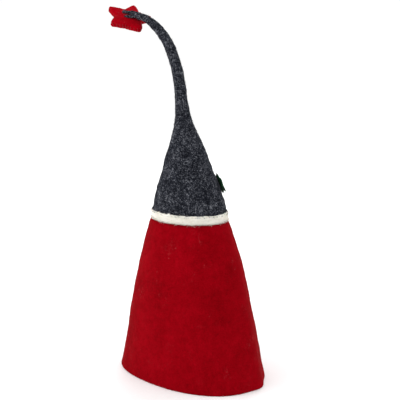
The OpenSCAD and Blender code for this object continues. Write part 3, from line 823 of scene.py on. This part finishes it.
def star_at(flat, height):
    return star_centre + flat[..., :1] * star_x + flat[..., 1:2] * star_y + height[..., None] * star_up


def edge_distance(flat):
    gap = flat.reshape(-1, 1, 2) - flat_edge[None]
    return np.sqrt((gap ** 2).sum(-1)).min(1).reshape(flat.shape[:-1])


RIM = 2.3 * MM
shares = 1 - (1 - np.linspace(0.03, 1, STAR_ROWS)) ** 1.5
face = shares[:, None, None] * flat_edge[None]
to_edge = edge_distance(face)
near, dome = np.clip(to_edge / RIM, 0, 1), np.clip(to_edge / (8.5 * MM), 0, 1)
side_height = star_half * 0.52
crown = side_height + (star_half * 1.02 - side_height) * np.sqrt(1 - (1 - near) ** 2) + 0.9 * MM * dome ** 1.3


def rim_row(share, inset=0.0):
    """One row round the star's side, at a share of the side's height."""
    flat = flat_edge * (1 - inset / star_radius)[:, None]
    return star_at(flat, np.full(STAR_SIDES, share * side_height))[None]


star_rings = np.concatenate([star_at(face, -crown), rim_row(-0.66), rim_row(-0.3), rim_row(0, 0.45 * MM),
                             rim_row(0.3), rim_row(0.66), star_at(face, crown)[::-1]])
lumps = (0.55 * wave(star_rings, 0.011, 21) + 0.42 * wave(star_rings, 0.0042, 22)
         + 0.20 * wave(star_rings, 0.0017, 23, 1)) * MM
star_rings = grown(star_rings, unit(star_rings - star_centre), lumps)
star = skin("star", star_rings, STAR_RED, "tail_tip")
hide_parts("star_upper", "star_under")
fuzz("star_fuzz", star_rings, 1500, 1.1 * MM, 0.04 * MM, STAR_FIBRE, 41, "tail_tip")

# whip stitches over the rim
every, stitch_steps = 9, 11
paths = []
for k in range(0, STAR_SIDES, every):
    edge = flat_edge[k]
    pull = flat_edge[(k + 2) % STAR_SIDES] - edge
    inner = edge * (1 - 1.9 * MM / star_radius[k])
    top = side_height + (star_half - side_height) * 0.75
    near_rim, past_rim = (edge * (1 + gap * MM / star_radius[k]) for gap in (0.12, 0.30))
    stops = [(inner, top + 0.15 * MM), (near_rim, side_height * 1.15), (past_rim + pull * 0.5, 0.0),
             (near_rim + pull, -side_height * 1.15), (inner + pull, -top - 0.15 * MM)]
    line = np.array([star_at(np.array(p), np.array(h)) for p, h in stops])
    paths.append(resampled(line, stitch_steps))
tubes("star_rim_stitches", np.array(paths), np.full((len(paths), stitch_steps), 0.15 * MM), 6, THREAD_RED,
      "tail_tip")


# ---- tail tip on the star

def wool_lock(name, points, radii, seed, steps=26, sides=14):
    """A soft tapered tuft along a few points, lumpy like half-felted wool."""
    points = np.array(points)
    line = resampled(points, steps)
    for _ in range(3):
        line[1:-1] = (line[:-2] + line[1:-1] * 2 + line[2:]) / 4
    width = np.interp(np.linspace(0, len(points) - 1, steps), range(len(points)), radii)
    way = unit(np.gradient(line, axis=0))
    side = unit(np.cross(way, star_up))
    top = np.cross(side, way)
    a = circle(sides)
    grid = line[:, None] + width[:, None, None] * (
        -np.cos(a)[None, :, None] * side[:, None] + 0.8 * np.sin(a)[None, :, None] * top[:, None])
    grid = grown(grid, unit(grid - line[:, None]), 0.22 * MM * wave(grid, 0.0022, seed))
    skin(name, grid, GREY_WOOL, "tail_tip")


STAR_FACE = 3.9         # height of the star's face over its middle, in millimetres


def on_star(x, y, h):
    """Point over the star's face: millimetres along it from its middle, and above its face."""
    return star_centre + (star_x * x + star_y * y + star_up * (h + STAR_FACE)) * MM


# The tail's end is pulled apart into tufts that are pressed and sewn onto the star
end_x, end_z = tail_at(TAIL_END)
to_end = np.array([end_x, 0, end_z]) - star_centre
ex, ey, eh = to_end @ star_x / MM, to_end @ star_y / MM, to_end @ star_up / MM - STAR_FACE
tufts = [
    ("tail_tuft_long",
     [(ex - 7, ey - 0.2, eh + 0.1), (ex - 2, ey - 1.2, eh - 0.6), (ex + 3, ey - 2.2, eh * 0.5),
      (ex + 6, ey - 1.4, 1.3), (ex + 8.6, ey + 0.6, 1.5), (ex + 9.6, ey + 2.2, 0.6)],
     [1.4, 2.1, 1.9, 1.7, 2.2, 1.0]),
    ("tail_tuft_short",
     [(ex - 9, ey + 0.9, eh - 1.2), (ex - 4, ey + 3.0, eh * 0.5), (ex + 0.5, ey + 5.2, 1.0),
      (ex + 4.4, ey + 6.4, 0.5)],
     [1.2, 1.7, 1.8, 0.6]),
    ("tail_tuft_side",
     [(ex - 7, ey - 0.9, eh - 1.2), (ex - 2, ey - 3.0, eh * 0.4), (ex + 1.6, ey - 4.2, 0.3)],
     [1.1, 1.2, 0.3]),
]
for k, (name, stops, widths) in enumerate(tufts):
    wool_lock(name, [on_star(*p) for p in stops], np.array(widths) * MM, 50 + k)

count, steps = 90, 8
local = np.random.default_rng(77)
s = np.linspace(0, 1, steps)
base = np.stack([ex + local.uniform(-9, 5, count), ey + local.normal(0, 1.7, count)], -1)
turn_by = local.normal(0, 0.5, count)
reach = local.uniform(3, 8.5, count)
flat = base[:, None] + reach[:, None, None] * np.stack(
    [np.cos(turn_by)[:, None] * s,
     np.sin(turn_by)[:, None] * s + 0.25 * local.normal(size=(count, 1)) * s ** 2], -1)
high = (eh * 0.5) * (1 - s)[None] ** 2 + 0.35 + local.uniform(0, 1.2, count)[:, None] * (1 - 0.6 * s)
tubes("tail_tip_wisps", star_at(flat * MM, (high + STAR_FACE) * MM),
      local.uniform(0.05, 0.16, count)[:, None] * MM * (1 - 0.8 * s), 3, GREY_WOOL, "tail_tip")

# red thread that sews the tail down: loops over it
loops, loop_steps = [], 16
for x, lean in ((-9.5, 0.5), (-5.0, -0.6), (-1.5, 0.4)):
    a = np.linspace(-0.25 * math.pi, 1.25 * math.pi, loop_steps)
    share = np.linspace(-1, 1, loop_steps)
    middle_h = eh * (0.95 if x < -4 else 0.6) - 0.6
    loops.append([on_star(ex + x + lean * q, ey + 2.9 * math.cos(b), middle_h + 2.6 * math.sin(b))
                  for b, q in zip(a, share)])
sewn = tubes("tail_sewing", np.array(loops), np.full((len(loops), loop_steps), 0.28 * MM), 8, THREAD_RED,
             "tail_tip")
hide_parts("star_stitches")


# ---- holly sprig

def islands(node):
    """The separate solids of a CAD node, as arrays of points."""
    mesh = NODES[node].data
    group = list(range(len(mesh.vertices)))

    def root(i):
        while group[i] != i:
            group[i] = group[group[i]]
            i = group[i]
        return i

    spots = {}
    for v in mesh.vertices:
        key = tuple(round(c * 1e6) for c in v.co)
        if key in spots:
            group[root(v.index)] = root(spots[key])
        spots[key] = v.index
    for edge in mesh.edges:
        group[root(edge.vertices[0])] = root(edge.vertices[1])
    members = {}
    for v in mesh.vertices:
        members.setdefault(root(v.index), []).append(tuple(v.co))
    return [np.array(points) for points in members.values()]


leaf_low, leaf_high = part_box("holly_leaf_right")
SPRIG_Z = (leaf_low.z + leaf_high.z) / 2 - 1.5 * MM
LEAF_LEN, LEAF_WIDE, LEAF_THICK = 42 * MM, 19 * MM, 2.4 * MM
LEAF_UPPER = 1.10       # a leaf's upper half is cut a little wider than its lower half
LEAF_CLIMB = 3 * MM     # how much higher its tip is than its inner end
sprig_radius = float(hat_line.radius(np.array(SPRIG_Z), np.array(0.0))[1])


def leaf_half(s):
    body = LEAF_WIDE / 2 * (0.10 + 0.90 * np.sin(math.pi * np.clip(s, 0, 1)) ** 0.6)
    part = (3 * s - 0.5) % 1.0
    return body * (1.04 - 0.34 * np.sin(math.pi * part) ** 0.8)


def leaf_rise(s):
    """Millimetres that the leaf stands off the hat: bunched up under the berries, free at its tip."""
    return 0.4 + 0.9 * s + 2.0 * s ** 2 + 1.5 * np.exp(-(s / 0.15) ** 2)


def leaf_turn(s, side):
    return -math.pi / 2 + side * (math.radians(3) + s * LEAF_LEN / sprig_radius)


def make_leaf(name, side, seed):
    rows, half_points = 96, 21
    s = np.linspace(0.004, 0.996, rows)
    v = np.sin(np.linspace(-math.pi / 2, math.pi / 2, half_points))
    face_v = np.concatenate([v, v[::-1][1:-1]])
    front = np.concatenate([np.ones(half_points), -np.ones(half_points - 2)])
    ss, vv = np.meshgrid(s, face_v, indexing="ij")
    half = leaf_half(ss)
    z = (SPRIG_Z + LEAF_CLIMB * ss + vv * half * np.where(vv > 0, LEAF_UPPER, 1.0)
         + 0.5 * MM * np.sin(9 * ss + seed) * vv)
    vein = np.exp(-(vv * half / (0.9 * MM)) ** 2)
    ends = np.sin(math.pi * np.clip(ss, 0.012, 0.988)) ** 0.12
    thick = LEAF_THICK / 2 * (1 - np.abs(vv) ** 7) ** 0.5 * ends
    curl = (leaf_rise(ss) + 0.55 * np.sin(3 * math.pi * ss + seed) * vv ** 2) * MM
    middle_out = curl + LEAF_THICK / 2 + 0.9 * MM * vv ** 2 * ss
    out = middle_out + front * (thick - 0.55 * MM * vein * (front > 0))
    grid = hat_line.oval(z, leaf_turn(ss, side), out)
    lumps = 0.16 * wave(grid, 0.005, seed) + 0.07 * wave(grid, 0.0016, seed + 1)
    grid += ring_normals(grid) * side * lumps[..., None] * MM
    if side < 0:
        grid = grid[:, ::-1]
    piece = skin(name, grid, GREEN, "figure")
    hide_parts("holly_leaf_right" if side < 0 else "holly_leaf_left")
    # running stitches along the vein
    steps = 8
    bow = 0.28 * MM * np.sin(np.linspace(0, math.pi, steps))
    lines = []
    for a in np.arange(0.08, 0.93, 0.075):
        at = np.linspace(a, a + 0.052, steps)
        height = leaf_rise(at) * MM + LEAF_THICK - 0.55 * MM + bow
        lines.append(hat_line.oval(SPRIG_Z + LEAF_CLIMB * at, leaf_turn(at, side), height))
    tubes(name + "_vein", np.array(lines), np.full((len(lines), steps), 0.26 * MM), 8, THREAD_GREEN, "figure")
    fuzz(name + "_fuzz", grid[:, ::-1] if side < 0 else grid, 260, 1.0 * MM, 0.035 * MM, GREEN, seed,
         "figure")


make_leaf("leaf_right", -1, 61)
make_leaf("leaf_left", 1, 63)


def ball(name, cad, material, seed, rough=0.05, squash=(1, 1, 1)):
    """A hand-rolled felt ball in the box of a CAD solid's points: nearly round, with dents and folds."""
    low, high = cad.min(0), cad.max(0)
    radius = (high - low).max() / 2 * 0.99
    lat = np.linspace(-math.pi / 2 + 0.03, math.pi / 2 - 0.03, 44)
    la, lo = np.meshgrid(lat, circle(64), indexing="ij")
    way = np.stack([np.cos(la) * np.cos(lo), np.cos(la) * np.sin(lo), np.sin(la)], -1)
    spot = way * radius
    crease = np.abs(wave(spot, radius * 0.9, seed + 2))
    size = radius * (1 + rough * (
        wave(spot, radius * 0.8, seed) + 0.45 * wave(spot, radius * 0.3, seed + 1)
        - 0.9 * np.exp(-(crease / 0.06) ** 2) + 0.15 * wave(spot, radius * 0.1, seed + 4, 1)))
    grid = (low + high) / 2 + way * size[..., None] * np.array(squash)
    return skin(name, grid, material, "figure"), grid


for k, points in enumerate(sorted(islands("berries"), key=lambda p: (p[:, 2].mean(), p[:, 0].mean()))):
    berry, grid = ball(f"berry_{k + 1}", points, BERRY, 70 + 5 * k)
    if k == 0:
        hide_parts("berries")
    fuzz(f"berry_{k + 1}_fuzz", grid, 160, 0.8 * MM, 0.03 * MM, STAR_FIBRE, 90 + k, "figure")


# ---- nose and beard

nose, grid = ball("nose_ball", np.array(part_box("nose")), SKIN, 120, 0.035, (1.02, 0.97, 0.98))
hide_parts("nose")
fuzz("nose_fuzz", grid, 500, 1.0 * MM, 0.03 * MM, SKIN, 95, "figure")

beard_low, beard_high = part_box("beard")
BEARD_TOP, BEARD_LEN, BEARD_THICK = beard_high.z, beard_high.z - beard_low.z, 8 * MM
BEARD_WIDE = math.radians(40)


def beard_at(s, across, share):
    """Point of the beard: share of the way down, place across from -1 to 1, share of its thickness."""
    s, across = np.asarray(s, float), np.asarray(across, float)
    spread_by = BEARD_WIDE * np.sqrt(np.maximum(0.0, 1 - 0.96 * np.clip(s, 0, 1.03)))
    depth = BEARD_THICK * np.minimum(0.3 + 2.5 * np.maximum(s, 0), 1 - 0.45 * s)
    out = 0.4 * MM + depth * (1 - 0.8 * np.minimum(across ** 2, 1.1)) * share
    return dress_line.oval(BEARD_TOP - BEARD_LEN * s, -math.pi / 2 + across * spread_by, out)


# an even bed of wool under the locks
rows, half_points = 64, 26
s = np.linspace(0.0, 0.90, rows)
v = np.linspace(-0.93, 0.93, half_points)
ss, vv = np.meshgrid(s, np.concatenate([v, v[::-1]]), indexing="ij")
narrow = 1 - 0.75 * np.clip((ss - 0.45) / 0.45, 0, 1) ** 1.6
share = (np.concatenate([np.full(half_points, 0.60), np.zeros(half_points)])[None, :]
         * (1 - 0.5 * np.clip((ss - 0.7) / 0.2, 0, 1)))
bed = beard_at(ss, vv * narrow, share)
combed = wave(np.stack([vv * 14, ss * 2.2, np.zeros_like(ss)], -1) * MM, 0.001, 130, 3)
bed[:, :half_points] += (np.array([0, -1.0, 0]) * (0.6 * MM * combed)[..., None])[:, :half_points]
bed_piece = skin("beard_bed", bed[::-1], WHITE, "figure")
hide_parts("beard")


def beard_locks(name, count, steps, sides, thick, layer, swing, seed, starts, lengths, loose=1.04):
    """Waved locks down the beard; the pairs are ranges of radius, share of thickness, start and length."""
    local = np.random.default_rng(seed)
    q = np.linspace(0, 1, steps)[None]
    a0 = local.uniform(-0.98, 0.98, count)[:, None]
    s0 = local.uniform(*starts, count)[:, None] * (1 - 0.25 * a0 ** 2)
    size = local.uniform(*lengths, count)[:, None]
    lowest = 1.0 - 0.42 * np.abs(a0) ** 1.5 + local.uniform(-0.05, 0.02, count)[:, None]
    s = s0 + np.clip(lowest - s0, 0.12, size) * q
    phase, waves = local.uniform(0, 2 * math.pi, (2, count, 1))
    waves = 1.0 + 1.8 * waves / (2 * math.pi)
    sway = swing * np.sin(2 * math.pi * waves * q + phase) * (0.35 + 0.65 * q)
    a = a0 * (1 - 0.12 * q) + sway
    ripple = 0.84 + 0.16 * np.sin(2 * math.pi * waves * q + phase + 1.7)
    share = local.uniform(*layer, count)[:, None] * ripple * (0.5 + 0.5 * np.minimum(q * 6, 1))
    path = beard_at(s, np.clip(a, -loose, loose), share)
    width = local.uniform(*thick, count)[:, None] * MM * (np.minimum(0.35 + 3 * q, 1) * (1 - q ** 2) + 0.04)
    tubes(name, path, width, sides, WHITE, "figure")


beard_locks("beard_locks_under", 210, 22, 8, (1.0, 1.7), (0.55, 0.85), 0.08, 131, (0.0, 0.6), (0.35, 0.6))
beard_locks("beard_locks_over", 300, 22, 8, (0.5, 1.15), (0.75, 1.08), 0.12, 132, (0.0, 0.7), (0.24, 0.46))
beard_locks("beard_strands", 1500, 16, 4, (0.10, 0.26), (0.75, 1.2), 0.14, 133, (0.0, 0.8), (0.15, 0.40),
            loose=1.13)

# the beard's roots run over the dress's shoulder and under the band
count, steps = 260, 12
local = np.random.default_rng(134)
a0 = local.uniform(-0.97, 0.97, count)[:, None]
q = np.linspace(0, 1, steps)[None]
low_end = beard_at(0.03 + 0.09 * q, a0 + 0.02 * q * local.normal(size=(count, 1)),
                   local.uniform(0.5, 0.9, (count, 1)))
top = low_end[:, :1]
angle = np.arctan2(top[..., 1], top[..., 0] - 0.002)
under_band = hat_line.point(np.full_like(angle, BRIM + 0.2 * MM), angle, 0.9 * MM)
over_edge = dress_line.point(np.full_like(angle, NECK - 1.5 * MM), angle, -0.2 * MM)
over_edge[..., 2] = NECK + 0.6 * MM
route = np.concatenate([under_band, over_edge, low_end[:, [0, steps // 2, -1]]], axis=1)
root_steps = 16
roots = np.stack([resampled(line, root_steps) for line in route])
for _ in range(2):
    roots[:, 1:-1] = (roots[:, :-2] + 2 * roots[:, 1:-1] + roots[:, 2:]) / 4
tubes("beard_roots", roots, local.uniform(0.35, 0.7, count)[:, None] * MM * np.linspace(1, 0.3, root_steps),
      7, WHITE, "figure")


# ---- CAD pieces that stay

CAD_FINISH = {
    "base_felt": RED, "base_card": CARD, "base_stitches": THREAD_RED, "ballast_bag": COTTON,
    "ballast_fill": PELLETS, "body_stuffing": STUFFING, "hat_stuffing": STUFFING,
    "hat_seam_stitches": THREAD_DARK, "hat_wire": WIRE, "tail_wire_root": WIRE,
    "tail_wire_lower": WIRE, "tail_wire_middle": WIRE, "tail_wire_tip": WIRE,
    "star_filling": STUFFING, "sprig_stitches": THREAD_GREEN,
    "nose_thread": THREAD_PALE, "beard_stitches": THREAD_PALE,
}
for name, material in CAD_FINISH.items():
    slots = NODES[name].data.materials
    slots.clear()
    slots.append(material)
